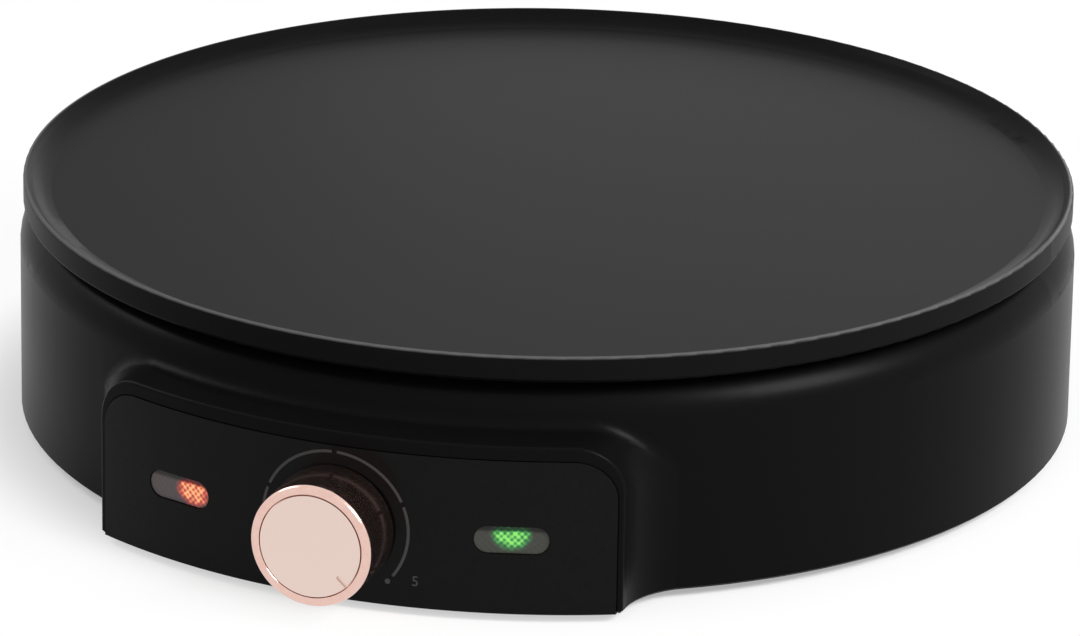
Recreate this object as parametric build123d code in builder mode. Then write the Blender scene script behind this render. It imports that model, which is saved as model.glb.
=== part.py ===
from build123d import *
from math import atan2, cos, degrees, radians, sin, sqrt
import os

os.makedirs("parts", exist_ok=True)

# Electric crepe maker. Millimetres, +Z up, z = 0 on the worktop, -Y towards the user.
# Heights named *_z are above the worktop; the others are lengths of one piece.

# ---- Driving dimensions ------------------------------------------------------------

# Housing: a round shell with a rounded shoulder and a pod for the controls
ground_gap = 2.5
housing_radius = 161.0
housing_height = 64.0
housing_wall = 2.6
shoulder_round = 12.0
foot_bevel = 0.8
bottom_lip = 4.4
well_land = 15.0
well_depth = 6.5
ledge_width = 12.0
ledge_thickness = 3.0

# Pod: its face lies on a cylinder about the drum axis
pod_reach = 15.0
pod_half_width = 81.3
pod_height = 51.3
pod_flare_radius = 26.0
pod_corner_round = 14.0
pod_edge_round = 1.0
pod_root_round = 5.0
pod_cheek_setback = 36.0
pod_root_bite = 0.2
pod_back_inset = 4.0

# Cooking plate
plate_inset = 1.0
rim_gap = 0.8
rim_height = 8.0
rim_flange_width = 9.0
face_edge_inset = 5.3
crest_inset = 1.3
face_depth = 4.0
plate_thickness = 6.0
plate_body_gap = 1.0
skirt_width = 6.0
slope_round = 8.0
crest_round = 0.5
rim_round = 0.9
rim_under_round = 1.2
plate_boss_radius = 5.0
plate_screw_count = 6

# Heating element
loop_radius = 95.0
sheath_radius = 3.3
groove_clearance = 0.2
rib_width = 12.0
rib_height = 7.0
leg_offset = 14.0
leg_bend_radius = 14.0
leg_end = 45.0
pin_radius = 1.5
pin_length = 12.0
strap_angles = (-30, 30, 90, 150, 210)
strap_screw_offset = 10.0
strap_boss_radius = 5.0
strap_width = 9.0
strap_thickness = 1.0
strap_inner_reach = 5.5
strap_corner_round = 1.5

# Heat shield
sheet = 0.8
shield_clearance = 0.4
shield_flange_margin = 0.2
shield_depth = 16.0
shield_bend = 2.0

# Control panel, lenses and lamps
panel_height = 47.0
panel_thickness = 2.2
panel_proud = 0.3
panel_side_rim = 1.6
panel_corner_round = 12.0
panel_gap = 0.3
panel_slot_gap = 0.25
control_height = 22.7
window_inset = 29.0
window_length = 22.0
window_width = 8.5
lens_gap = 0.15
lens_recess = 0.7
lens_flange = 2.0
lens_flange_thickness = 1.2
lens_flange_drop = 0.6
wall_window_gap = 0.7
holder_gap = 0.3
holder_plate_thickness = 1.5
holder_edge = 1.0
holder_tube_length = 12.0
holder_tube_radius = 4.6
lamp_radius = 3.0
lamp_length = 12.5
lamp_dome_round = 2.4
lamp_gap = 0.1
stud_inset = 7.7
stud_low = 8.0
stud_high = 37.0
stud_radius = 2.5
stud_gap = 0.2

# Thermostat
stat_width = 34.0
stat_height = 32.0
stat_depth = 22.0
stat_gap = 0.1
stat_corner_round = 3.0
bush_radius = 4.75
bush_gap = 0.15
bush_proud = 1.0
nut_sides = 6
nut_flats = 14.0
nut_thickness = 2.5
nut_gap = 0.1
nut_opening_gap = 0.7
shaft_radius = 3.0
shaft_clearance = 0.05
shaft_flat = 1.6
shaft_flat_setback = 1.0
shaft_bite = 0.5
shaft_engagement = 6.0
shaft_end_gap = 0.2
tab_length = 7.0
tab_width = 6.3
tab_spacing = 18.0

# Knob
knob_radius = 18.5
knob_length = 18.5
knob_gap = 0.3
knob_wall = 2.0
knob_front_thickness = 5.0
knob_lip_width = 2.9
knob_lip_depth = 1.6
knob_edge_round = 1.6
knob_lip_round = 0.9
hub_radius = 6.5
hub_recess = 1.9
face_insert_thickness = 1.2
face_insert_gap = 0.2
pointer_angle = -43.0
pointer_inner_radius = 11.5
pointer_width = 1.4
pointer_depth = 0.6
spring_thickness = 0.5
spring_width = 3.6
spring_length = 7.0
spring_gap = 0.04

# Base cover, feet and posts
base_clearance = 0.4
base_recess = 0.5
base_thickness = 2.5
base_boss_height = 2.0
post_radius = 4.5
post_inset = 2.5
post_angles = (30, 75, 105, 150, 210, 330)
pod_post_side = 17.3
pod_post_setback = 12.92
vent_width = 3.5
outer_vent_radius = 78.0
outer_vent_length = 34.0
outer_vent_count = 24
inner_vent_radius = 36.0
inner_vent_length = 18.0
inner_vent_count = 12
foot_count = 4
foot_start_angle = 45.0
foot_radius = 9.0
foot_inset = 33.0
foot_pocket_depth = 1.0
foot_edge_round = 0.8
foot_stem_radius = 2.6
foot_barb_radius = 3.6
foot_barb_length = 2.6
foot_clearance = 0.2

# Mains side
gland_height = 12.5
gland_bore_radius = 3.6
gland_neck_radius = 6.0
gland_flange_radius = 8.5
gland_flange_thickness = 2.2
gland_tail_length = 8.0
gland_tail_wall = 1.3
gland_clearance = 0.2
gland_flange_gap = 0.05
gland_seat_gap = 0.3
clamp_setback = 21.0
clamp_length = 32.0
clamp_depth = 8.0
clamp_thickness = 5.0
clamp_post_x = 11.5
clamp_post_radius = 4.0
clamp_grip = 0.1
clamp_corner_round = 1.5
block_setback = 22.0
block_length = 34.0
block_depth = 18.0
block_height = 16.0
block_bore_radius = 1.8
block_pitch = 10.0
wire_height = 12.5

# Screws: thread radius, head radius, head height
screw_clearance = 0.2
thread_clearance = 0.05
m4_radius = 2.0
m4_head_radius = 3.6
m4_head_height = 2.4
m3_radius = 1.5
m3_head_radius = 2.8
m3_head_height = 1.8
slot_width = 0.8
slot_depth = 0.9
plate_screw_length = 10.0
base_screw_length = 16.0
strap_screw_length = 6.0
clip_screw_length = 4.0
clamp_screw_length = 14.0

# Sensing bulb and cut-out, placed from the drum axis
bulb_x = 50.0
bulb_start_y = -20.0
bulb_length = 60.0
bulb_radius = 2.2
bulb_gap = 0.3
capillary_radius = 0.8
clip_width = 10.0
clip_y = 10.0
clip_wing = 9.0
clip_gap = 0.2
clip_screw_x = 6.4
cutout_x = -50.0
cutout_y = 10.0
cutout_radius = 6.5
cutout_height = 8.0
cutout_ear_length = 26.0
cutout_ear_width = 7.0
cutout_tab_reach = 14.0

# Wires
wire_radius = 1.2
lead_radius = 0.9
wire_end_gap = 0.2
wire_bend = 8.0
short_bend = 3.0
lead_run = 8.0
capillary_start_x = 12.0
capillary_rise = 9.0
earth_tag_setback = 26.0
earth_tag_length = 16.0
earth_tag_drop = 8.0
bushing_wall = 1.0
bushing_height = 4.0
bushing_flange = 1.5
bushing_clearance = 0.15

# Wire routes, placed from the drum axis: passes go up through the shield
live_pass = (-72.0, -20.0)
neutral_pass = (14.0, -8.0)
capillary_pass = (50.0, -50.0)
live_side_x = 62.0
live_side_back_y = 30.0
live_side_front_y = -80.0
block_lead_live_y = 80.0
block_lead_neutral_y = 60.0
tab_lead = 29.0
switched_turn_y = -70.0
neutral_turn_y = 20.0
link_turn_y = -12.0
earth_loop = 10.0
capillary_turn_y = -125.0
capillary_side_y = -92.0

# ---- Derived places ----------------------------------------------------------------

base_z = ground_gap
shoulder_z = base_z + housing_height
rim_bottom_z = shoulder_z + rim_gap
plate_top_z = rim_bottom_z + rim_height
cooking_z = plate_top_z - face_depth
underside_z = cooking_z - plate_thickness
ledge_z = shoulder_z - well_depth
ledge_under_z = ledge_z - ledge_thickness
skirt_bottom_z = ledge_z + sheet
rib_bottom_z = underside_z - rib_height
heater_z = rib_bottom_z + sheath_radius + groove_clearance / 2
shield_bottom_z = ledge_z - shield_depth
well_radius = housing_radius - well_land
ledge_inner_radius = well_radius - ledge_width
pod_radius = housing_radius + pod_reach
plate_radius = housing_radius - plate_inset
face_edge_radius = plate_radius - face_edge_inset
crest_radius = plate_radius - crest_inset
plate_boss_circle = (well_radius + ledge_inner_radius) / 2
strap_screw_circle = loop_radius + strap_screw_offset
strap_start_radius = loop_radius - strap_inner_reach
plate_body_radius = well_radius - plate_body_gap
skirt_inner_radius = plate_body_radius - skirt_width
lip_radius = well_radius + housing_wall

pod_top_z = base_z + pod_height
control_z = base_z + control_height
panel_radius = pod_radius + panel_proud
panel_inner_radius = panel_radius - panel_thickness
seat_radius = panel_inner_radius - panel_gap
wall_inner_radius = seat_radius - housing_wall
panel_half_width = pod_half_width - panel_side_rim
window_arc = pod_half_width - window_inset
stud_arc = panel_half_width - stud_inset
pod_post_x = pod_half_width - pod_post_side
pod_post_y = -sqrt((pod_radius - pod_post_setback) ** 2 - pod_post_x**2)

base_bottom_z = base_z + base_recess
base_top_z = base_bottom_z + base_thickness
boss_top_z = base_top_z + base_boss_height
post_circle = well_radius - post_inset
foot_circle = housing_radius - foot_inset
clamp_y = housing_radius - clamp_setback
block_y = clamp_y - block_setback
earth_tag_y = block_y - earth_tag_setback
gland_z = base_z + gland_height
wire_z = base_z + wire_height
gland_outer_face = housing_radius + gland_flange_gap
gland_inner_face = housing_radius - housing_wall - gland_seat_gap

knob_back = panel_radius + knob_gap
knob_front = knob_back + knob_length
front_reach = knob_front
rear_reach = gland_outer_face + gland_flange_thickness
axis_y = (front_reach - rear_reach) / 2

drum_axis = Axis((0, axis_y, 0), (0, 0, 1))
edge_tolerance = 0.01
overshoot = 1.0
section = Plane((0, axis_y, 0), x_dir=(1, 0, 0), z_dir=(0, -1, 0))


def level(z, x=0.0, y=0.0):
    """Horizontal plane at height z, its origin at (x, y) from the drum axis."""
    return Plane((x, axis_y + y, z))


def rearward(x, y, z):
    """Upright plane at (x, y) from the drum axis, its normal towards the back."""
    return Plane((x, axis_y + y, z), x_dir=(-1, 0, 0), z_dir=(0, 1, 0))


def on_face(radius, z, arc=0.0):
    """Plane on the pod's face, arc millimetres along it: x along, y up, normal outwards."""
    turn = arc / pod_radius
    spot = (radius * sin(turn), axis_y - radius * cos(turn), z)
    return Plane(spot, x_dir=(cos(turn), sin(turn), 0), z_dir=(sin(turn), -cos(turn), 0))


def corner(sketch, x, y):
    """The sketch's vertex nearest to a point."""
    return sketch.vertices().sort_by_distance((x, y))[0]


def reaches(edge, radius):
    """True if the edge's ends both lie at this radius from the drum axis."""
    spans = [sqrt(v.X**2 + (v.Y - axis_y) ** 2) for v in edge.vertices()]
    return all(abs(span - radius) < edge_tolerance for span in spans)


def finish(builder, name):
    """Label a finished piece and write it."""
    builder.part.label = name
    export_step(builder.part, f"parts/{name}.step")


def pod_outline(face_radius, inset):
    """Plan of the pod: curved face, straight cheeks, flares that run into the drum."""
    half = pod_half_width - inset
    flare = pod_flare_radius + inset
    drum = housing_radius - inset - pod_root_bite
    centre_x = half + flare
    centre_y = -sqrt((drum + flare) ** 2 - centre_x**2)
    root_x = centre_x * drum / (drum + flare)
    root_y = centre_y * drum / (drum + flare)
    turn = (180 + degrees(atan2(root_y - centre_y, root_x - centre_x))) / 2
    mid_x = centre_x + flare * cos(radians(turn))
    mid_y = centre_y + flare * sin(radians(turn))
    back_x = root_x - pod_back_inset
    back_y = -well_radius / 2
    with BuildSketch() as outline:
        with BuildLine():
            Line((-half, -2 * drum), (half, -2 * drum))
            Line((half, -2 * drum), (half, centre_y))
            ThreePointArc((half, centre_y), (mid_x, mid_y), (root_x, root_y))
            Line((root_x, root_y), (back_x, back_y))
            Line((back_x, back_y), (-back_x, back_y))
            Line((-back_x, back_y), (-root_x, root_y))
            ThreePointArc((-root_x, root_y), (-mid_x, mid_y), (-half, centre_y))
            Line((-half, centre_y), (-half, -2 * drum))
        make_face()
        Circle(face_radius, mode=Mode.INTERSECT)
    return outline.sketch


def pod_block(face_radius, inset, bottom_z, top_z):
    """Flat-topped pod with rounded top corners that follow its cheeks and flares."""
    half = pod_half_width - inset
    with BuildPart() as block:
        with BuildSketch(level(bottom_z)):
            add(pod_outline(face_radius, inset))
        extrude(amount=top_z - bottom_z)
        top_edges = block.faces().sort_by(Axis.Z)[-1].edges()
        cheeks = top_edges.filter_by(lambda e: abs(e.center().X) > half - inset - overshoot)
        cheeks = cheeks.filter_by(lambda e: e.center().Y < axis_y - housing_radius + pod_cheek_setback)
        fillet(cheeks, pod_corner_round - inset)
    return block.part


def panel_slab(outer_radius, inner_radius, grow):
    """Curved slab with the panel's outline, grown all round by a clearance."""
    half = panel_half_width + grow
    top = base_z + panel_height + grow
    with BuildPart() as slab:
        with BuildSketch(level(base_z - grow)):
            Circle(outer_radius)
            Circle(inner_radius, mode=Mode.SUBTRACT)
        extrude(amount=panel_height + 2 * grow)
        with BuildSketch(section) as outline:
            with BuildLine():
                Polyline((-half, 0), (half, 0), (half, top), (-half, top), close=True)
            make_face()
            fillet([corner(outline, half, top), corner(outline, -half, top)], panel_corner_round + grow)
        extrude(amount=2 * outer_radius, mode=Mode.INTERSECT)
    return slab.part


def screw(plane, radius, head_radius, head_height, length):
    """Slotted pan-head screw: its plane lies under the head, its normal points to the tip."""
    with BuildPart() as piece:
        with BuildSketch(plane):
            Circle(head_radius)
        extrude(amount=-head_height)
        fillet(piece.edges().sort_by(Axis(plane.origin, plane.z_dir))[0], head_height / 3)
        with BuildSketch(plane):
            Circle(radius)
        extrude(amount=length)
        with BuildSketch(plane.offset(-head_height)):
            Rectangle(2 * head_radius, slot_width)
        extrude(amount=slot_depth, mode=Mode.SUBTRACT)
    return piece.part


def tube(points, radius, bends):
    """Round wire along a route given from the drum axis, with tangent bends."""
    route = [(x, axis_y + y, z) for x, y, z in points]
    start = Vector(*route[0])
    with BuildPart() as piece:
        with BuildLine() as path:
            FilletPolyline(*route, radius=bends)
        with BuildSketch(Plane(start, z_dir=Vector(*route[1]) - start)):
            Circle(radius)
        sweep(path=path.wires()[0])
    return piece


# ---- Cooking plate and heater ------------------------------------------------------

# Path of the sheathed heater: a wide loop whose ends turn in side by side
bend_x = leg_offset + leg_bend_radius
bend_y = -sqrt((loop_radius - leg_bend_radius) ** 2 - bend_x**2)
bend_angle = degrees(atan2(bend_y, bend_x))
with BuildLine(level(heater_z)) as heater_path:
    Line((leg_offset, -leg_end), (leg_offset, bend_y))
    CenterArc((bend_x, bend_y), leg_bend_radius, bend_angle, -(180 + bend_angle))
    CenterArc((0, 0), loop_radius, bend_angle, 180 - 2 * bend_angle)
    CenterArc((-bend_x, bend_y), leg_bend_radius, 180 - bend_angle, 180 + bend_angle)
    Line((-leg_offset, bend_y), (-leg_offset, -leg_end))
heater_wire = heater_path.wires()[0]
heater_start = Plane((leg_offset, axis_y - leg_end, heater_z), x_dir=(1, 0, 0), z_dir=(0, -1, 0))
groove_radius = sheath_radius + groove_clearance

# Cast aluminium plate: raised rim, skirt that stands on the ledge, rib with the heater groove
with BuildPart() as cooking_plate:
    with BuildSketch(section) as profile:
        with BuildLine():
            Polyline(
                (0, cooking_z),
                (face_edge_radius, cooking_z),
                (crest_radius, plate_top_z),
                (plate_radius, plate_top_z),
                (plate_radius, rim_bottom_z),
                (plate_radius - rim_flange_width, rim_bottom_z),
                (plate_body_radius, underside_z + plate_thickness / 2),
                (plate_body_radius, skirt_bottom_z),
                (skirt_inner_radius, skirt_bottom_z),
                (skirt_inner_radius, underside_z),
                (0, underside_z),
                close=True,
            )
        make_face()
        fillet(corner(profile, face_edge_radius, cooking_z), slope_round)
        fillet(corner(profile, crest_radius, plate_top_z), crest_round)
        fillet(corner(profile, plate_radius, plate_top_z), rim_round)
        fillet(corner(profile, plate_radius, rim_bottom_z), rim_under_round)
    revolve(axis=drum_axis)
    with BuildSketch(level(rib_bottom_z)):
        Circle(loop_radius + rib_width / 2)
        Circle(loop_radius - rib_width / 2, mode=Mode.SUBTRACT)
        for angle in strap_angles:
            with PolarLocations(strap_screw_circle, 1, start_angle=angle):
                Circle(strap_boss_radius)
    extrude(amount=rib_height)
    with BuildSketch(level(skirt_bottom_z)):
        with PolarLocations(plate_boss_circle, plate_screw_count):
            Circle(plate_boss_radius)
    extrude(amount=underside_z - skirt_bottom_z)
    with BuildSketch(heater_start):
        Circle(groove_radius)
        with Locations((0, -rib_height / 2)):
            Rectangle(2 * groove_radius, rib_height)
    sweep(path=heater_wire, mode=Mode.SUBTRACT)
    with BuildSketch(level(skirt_bottom_z)):
        with PolarLocations(plate_boss_circle, plate_screw_count):
            Circle(m4_radius + thread_clearance)
    extrude(amount=plate_screw_length - ledge_thickness, mode=Mode.SUBTRACT)
    with BuildSketch(level(rib_bottom_z)):
        for angle in strap_angles:
            with PolarLocations(strap_screw_circle, 1, start_angle=angle):
                Circle(m3_radius + thread_clearance)
    extrude(amount=strap_screw_length, mode=Mode.SUBTRACT)
    with BuildSketch(level(underside_z, bulb_x, clip_y)):
        with Locations((clip_screw_x, 0)):
            Circle(m3_radius + thread_clearance)
    extrude(amount=clip_screw_length, mode=Mode.SUBTRACT)
    with BuildSketch(level(underside_z, cutout_x, cutout_y)):
        with GridLocations(0, cutout_ear_length - cutout_ear_width, 1, 2):
            Circle(m3_radius + thread_clearance)
    extrude(amount=clip_screw_length, mode=Mode.SUBTRACT)
finish(cooking_plate, "cooking_plate")

# Tubular heater, lying in the groove
with BuildPart() as heating_element:
    with BuildSketch(heater_start):
        Circle(sheath_radius)
    sweep(path=heater_wire)
finish(heating_element, "heating_element")

# Cold pins that stand out of the heater's two ends
with BuildPart() as heater_pins:
    with BuildSketch(heater_start):
        with Locations((0, 0), (-2 * leg_offset, 0)):
            Circle(pin_radius)
    extrude(amount=-pin_length)
finish(heater_pins, "heater_pins")

# Steel straps across the groove, one screw each
strap_length = strap_screw_circle + strap_boss_radius - strap_start_radius
strap_middle = strap_start_radius + strap_length / 2
with BuildPart() as heater_straps:
    with BuildSketch(level(rib_bottom_z - strap_thickness)):
        for angle in strap_angles:
            with PolarLocations(strap_middle, 1, start_angle=angle):
                RectangleRounded(strap_length, strap_width, strap_corner_round)
            with PolarLocations(strap_screw_circle, 1, start_angle=angle):
                Circle(m3_radius + screw_clearance, mode=Mode.SUBTRACT)
    extrude(amount=strap_thickness)
finish(heater_straps, "heater_straps")

strap_screw = screw(
    Plane.XY.offset(rib_bottom_z - strap_thickness),
    m3_radius,
    m3_head_radius,
    m3_head_height,
    strap_screw_length,
)
with BuildPart() as strap_screws:
    with Locations((0, axis_y, 0)):
        for angle in strap_angles:
            with PolarLocations(strap_screw_circle, 1, start_angle=angle):
                add(strap_screw)
finish(strap_screws, "strap_screws")

# ---- Heat shield and the screws that hold the plate ----------------------------------

# Pressed steel dish: its flange is clamped between the ledge and the plate's skirt
shield_flange_radius = plate_body_radius + shield_flange_margin
dish_radius = ledge_inner_radius - shield_clearance
bushing_hole_radius = wire_radius + bushing_wall + 2 * bushing_clearance
with BuildPart() as heat_shield:
    with BuildSketch(section) as profile:
        with BuildLine():
            Polyline(
                (0, shield_bottom_z),
                (dish_radius, shield_bottom_z),
                (dish_radius, ledge_z),
                (shield_flange_radius, ledge_z),
                (shield_flange_radius, ledge_z + sheet),
                (dish_radius - sheet, ledge_z + sheet),
                (dish_radius - sheet, shield_bottom_z + sheet),
                (0, shield_bottom_z + sheet),
                close=True,
            )
        make_face()
        fillet(corner(profile, dish_radius, shield_bottom_z), shield_bend + sheet)
        fillet(corner(profile, dish_radius - sheet, shield_bottom_z + sheet), shield_bend)
    revolve(axis=drum_axis)
    with BuildSketch(level(ledge_z)):
        with PolarLocations(plate_boss_circle, plate_screw_count):
            Circle(m4_radius + screw_clearance)
    extrude(amount=sheet, mode=Mode.SUBTRACT)
    with BuildSketch(level(shield_bottom_z)):
        with Locations(live_pass, neutral_pass, capillary_pass):
            Circle(bushing_hole_radius)
    extrude(amount=sheet, mode=Mode.SUBTRACT)
finish(heat_shield, "heat_shield")

# Flanged sleeves that line the wire holes in the shield
bushing_bore_radius = wire_radius + bushing_clearance
with BuildPart() as shield_bushings:
    with BuildSketch(level(shield_bottom_z + sheet)):
        with Locations(live_pass, neutral_pass, capillary_pass):
            Circle(bushing_hole_radius + bushing_flange)
            Circle(bushing_bore_radius, mode=Mode.SUBTRACT)
    extrude(amount=bushing_flange)
    with BuildSketch(level(shield_bottom_z + sheet)):
        with Locations(live_pass, neutral_pass, capillary_pass):
            Circle(bushing_hole_radius - bushing_clearance)
            Circle(bushing_bore_radius, mode=Mode.SUBTRACT)
    extrude(amount=-bushing_height)
finish(shield_bushings, "shield_bushings")

plate_screw = screw(
    Plane.XY.offset(ledge_under_z), m4_radius, m4_head_radius, m4_head_height, plate_screw_length
)
with BuildPart() as plate_screws:
    with Locations((0, axis_y, 0)):
        with PolarLocations(plate_boss_circle, plate_screw_count):
            add(plate_screw)
finish(plate_screws, "plate_screws")

# ---- Upper housing -----------------------------------------------------------------

outer_pod = pod_block(pod_radius, 0, base_z, pod_top_z)
inner_pod = pod_block(wall_inner_radius, housing_wall, base_z - overshoot, pod_top_z - housing_wall)
panel_recess = panel_slab(pod_radius + pod_edge_round, seat_radius, panel_slot_gap)
stud_spots = [(side * stud_arc, base_z + height) for side in (-1, 1) for height in (stud_low, stud_high)]
window_spots = [-window_arc, window_arc]
cavity_radius = housing_radius - housing_wall

with BuildPart() as upper_housing:
    # Outside: drum with a rounded shoulder, the pod with a blended root, one bevel at the foot
    with BuildSketch(section) as profile:
        with BuildLine():
            Polyline(
                (0, base_z),
                (housing_radius, base_z),
                (housing_radius, shoulder_z),
                (0, shoulder_z),
                close=True,
            )
        make_face()
        fillet(corner(profile, housing_radius, shoulder_z), shoulder_round)
    revolve(axis=drum_axis)
    add(outer_pod)
    front_rim = upper_housing.edges().filter_by(
        lambda e: e.center().Z > pod_top_z - pod_corner_round and reaches(e, pod_radius)
    )
    fillet(front_rim, pod_edge_round)
    crease = upper_housing.edges().filter_by(
        lambda e: e.center().Y < axis_y - housing_radius / 2
        and pod_top_z - pod_corner_round < e.center().Z < pod_top_z + overshoot
        and reaches(e, housing_radius)
    )
    fillet(crease, pod_root_round)
    foot = upper_housing.edges().filter_by(lambda e: abs(e.center().Z - base_z) < edge_tolerance)
    chamfer(foot, foot_bevel)
    # Inside: the cavity leaves the wall, the bottom lip and the well that carries the plate
    with BuildSketch(section) as profile:
        with BuildLine():
            Polyline(
                (0, base_z - overshoot),
                (cavity_radius - bottom_lip, base_z - overshoot),
                (cavity_radius - bottom_lip, base_z + housing_wall),
                (cavity_radius, base_z + housing_wall),
                (cavity_radius, shoulder_z - housing_wall),
                (lip_radius, shoulder_z - housing_wall),
                (lip_radius, ledge_under_z),
                (ledge_inner_radius, ledge_under_z),
                (ledge_inner_radius, ledge_z),
                (well_radius, ledge_z),
                (well_radius, shoulder_z + overshoot),
                (0, shoulder_z + overshoot),
                close=True,
            )
        make_face()
        fillet(corner(profile, cavity_radius, shoulder_z - housing_wall), shoulder_round - housing_wall)
    revolve(axis=drum_axis, mode=Mode.SUBTRACT)
    add(inner_pod, mode=Mode.SUBTRACT)
    add(panel_recess, mode=Mode.SUBTRACT)
    # Posts for the base screws, hung from the ledge and from the pod's roof
    with BuildSketch(level(boss_top_z)):
        for angle in post_angles:
            with PolarLocations(post_circle, 1, start_angle=angle):
                Circle(post_radius)
    extrude(amount=ledge_under_z - boss_top_z)
    with BuildSketch(level(boss_top_z)):
        with Locations((pod_post_x, pod_post_y), (-pod_post_x, pod_post_y)):
            Circle(post_radius)
    extrude(amount=pod_top_z - housing_wall - boss_top_z)
    with BuildSketch(level(boss_top_z)):
        for angle in post_angles:
            with PolarLocations(post_circle, 1, start_angle=angle):
                Circle(m4_radius + thread_clearance)
        with Locations((pod_post_x, pod_post_y), (-pod_post_x, pod_post_y)):
            Circle(m4_radius + thread_clearance)
    extrude(amount=base_screw_length, mode=Mode.SUBTRACT)
    # Screw holes in the ledge
    with BuildSketch(level(ledge_under_z)):
        with PolarLocations(plate_boss_circle, plate_screw_count):
            Circle(m4_radius + screw_clearance)
    extrude(amount=ledge_thickness, mode=Mode.SUBTRACT)
    # Openings behind the panel: bush, lenses, panel studs
    with BuildSketch(on_face(wall_inner_radius - overshoot, control_z)):
        Circle(bush_radius + bush_gap)
    extrude(amount=2 * housing_wall, mode=Mode.SUBTRACT)
    for arc in window_spots:
        with BuildSketch(on_face(wall_inner_radius - overshoot, control_z, arc)):
            SlotOverall(
                window_length + 2 * (lens_flange + wall_window_gap),
                window_width + 2 * (lens_flange + wall_window_gap),
            )
        extrude(amount=2 * housing_wall, mode=Mode.SUBTRACT)
    for arc, height in stud_spots:
        with BuildSketch(on_face(wall_inner_radius - overshoot, height, arc)):
            Circle(stud_radius + stud_gap)
        extrude(amount=2 * housing_wall, mode=Mode.SUBTRACT)
    # Hole for the cord gland in the rear wall
    with BuildSketch(rearward(0, cavity_radius - overshoot, gland_z)):
        Circle(gland_neck_radius + gland_clearance)
    extrude(amount=2 * housing_wall, mode=Mode.SUBTRACT)
finish(upper_housing, "upper_housing")

# ---- Control panel, lenses, lamps ----------------------------------------------------

nut_corner_radius = nut_flats / 2 / cos(radians(180 / nut_sides))
stud_end_radius = wall_inner_radius + stud_gap
with BuildPart() as control_panel:
    add(panel_slab(panel_radius, panel_inner_radius, 0))
    for arc, height in stud_spots:
        with BuildSketch(on_face(stud_end_radius, height, arc)):
            Circle(stud_radius)
        extrude(amount=panel_inner_radius + panel_thickness / 2 - stud_end_radius)
    for arc, height in stud_spots:
        with BuildSketch(on_face(stud_end_radius, height, arc)):
            Circle(m3_radius + thread_clearance)
        extrude(amount=panel_inner_radius - stud_end_radius, mode=Mode.SUBTRACT)
    with BuildSketch(on_face(panel_inner_radius - overshoot, control_z)):
        Circle(nut_corner_radius + nut_opening_gap)
    extrude(amount=2 * panel_thickness, mode=Mode.SUBTRACT)
    for arc in window_spots:
        with BuildSketch(on_face(panel_inner_radius - overshoot, control_z, arc)):
            SlotOverall(window_length, window_width)
        extrude(amount=2 * panel_thickness, mode=Mode.SUBTRACT)
finish(control_panel, "control_panel")

# Each screw clamps the wall from behind and threads into the stud
with BuildPart() as panel_screws:
    for arc, height in stud_spots:
        add(
            screw(
                on_face(wall_inner_radius - stud_gap / 2, height, arc),
                m3_radius,
                m3_head_radius,
                m3_head_height,
                panel_inner_radius - wall_inner_radius,
            )
        )
finish(panel_screws, "panel_screws")

lens_front_radius = panel_radius - lens_recess
lens_flange_radius = panel_inner_radius - lens_flange_drop
lens_back_radius = wall_inner_radius - holder_gap
holder_front_radius = lens_back_radius - holder_gap
lens_length = window_length - 2 * lens_gap
lens_width = window_width - 2 * lens_gap
holder_back_radius = holder_front_radius - holder_plate_thickness - holder_tube_length
lamp_front_radius = lens_back_radius - 2 * holder_gap


def lens(arc):
    """Stadium lens with a flange that lies behind the panel."""
    with BuildPart() as piece:
        with BuildSketch(on_face(lens_back_radius, control_z, arc)):
            SlotOverall(lens_length, lens_width)
        extrude(amount=lens_front_radius - lens_back_radius)
        with BuildSketch(on_face(lens_flange_radius - lens_flange_thickness, control_z, arc)):
            SlotOverall(window_length + 2 * lens_flange, window_width + 2 * lens_flange)
        extrude(amount=lens_flange_thickness)
    return piece


def lamp(arc):
    """Glass indicator lamp, domed at its front."""
    with BuildPart() as piece:
        with BuildSketch(on_face(lamp_front_radius - lamp_length, control_z, arc)):
            Circle(lamp_radius)
        extrude(amount=lamp_length)
        front = piece.faces().sort_by(Axis((0, 0, 0), on_face(1, 0, arc).z_dir))[-1]
        fillet(front.edges(), lamp_dome_round)
    return piece


power_lens = lens(-window_arc)
finish(power_lens, "power_lens")
ready_lens = lens(window_arc)
finish(ready_lens, "ready_lens")
power_lamp = lamp(-window_arc)
finish(power_lamp, "power_lamp")
ready_lamp = lamp(window_arc)
finish(ready_lamp, "ready_lamp")

# Nylon holders: a plate against the wall and a tube round each lamp
with BuildPart() as lamp_holders:
    for arc in window_spots:
        with BuildSketch(on_face(holder_front_radius - holder_plate_thickness, control_z, arc)):
            SlotOverall(window_length + 2 * lens_flange + 2 * holder_edge, window_width + 2 * lens_flange)
        extrude(amount=holder_plate_thickness)
        with BuildSketch(on_face(holder_back_radius, control_z, arc)):
            Circle(holder_tube_radius)
        extrude(amount=holder_tube_length)
        with BuildSketch(on_face(holder_back_radius, control_z, arc)):
            Circle(lamp_radius + lamp_gap)
        extrude(amount=holder_tube_length + holder_plate_thickness, mode=Mode.SUBTRACT)
finish(lamp_holders, "lamp_holders")

# ---- Thermostat --------------------------------------------------------------------

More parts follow.
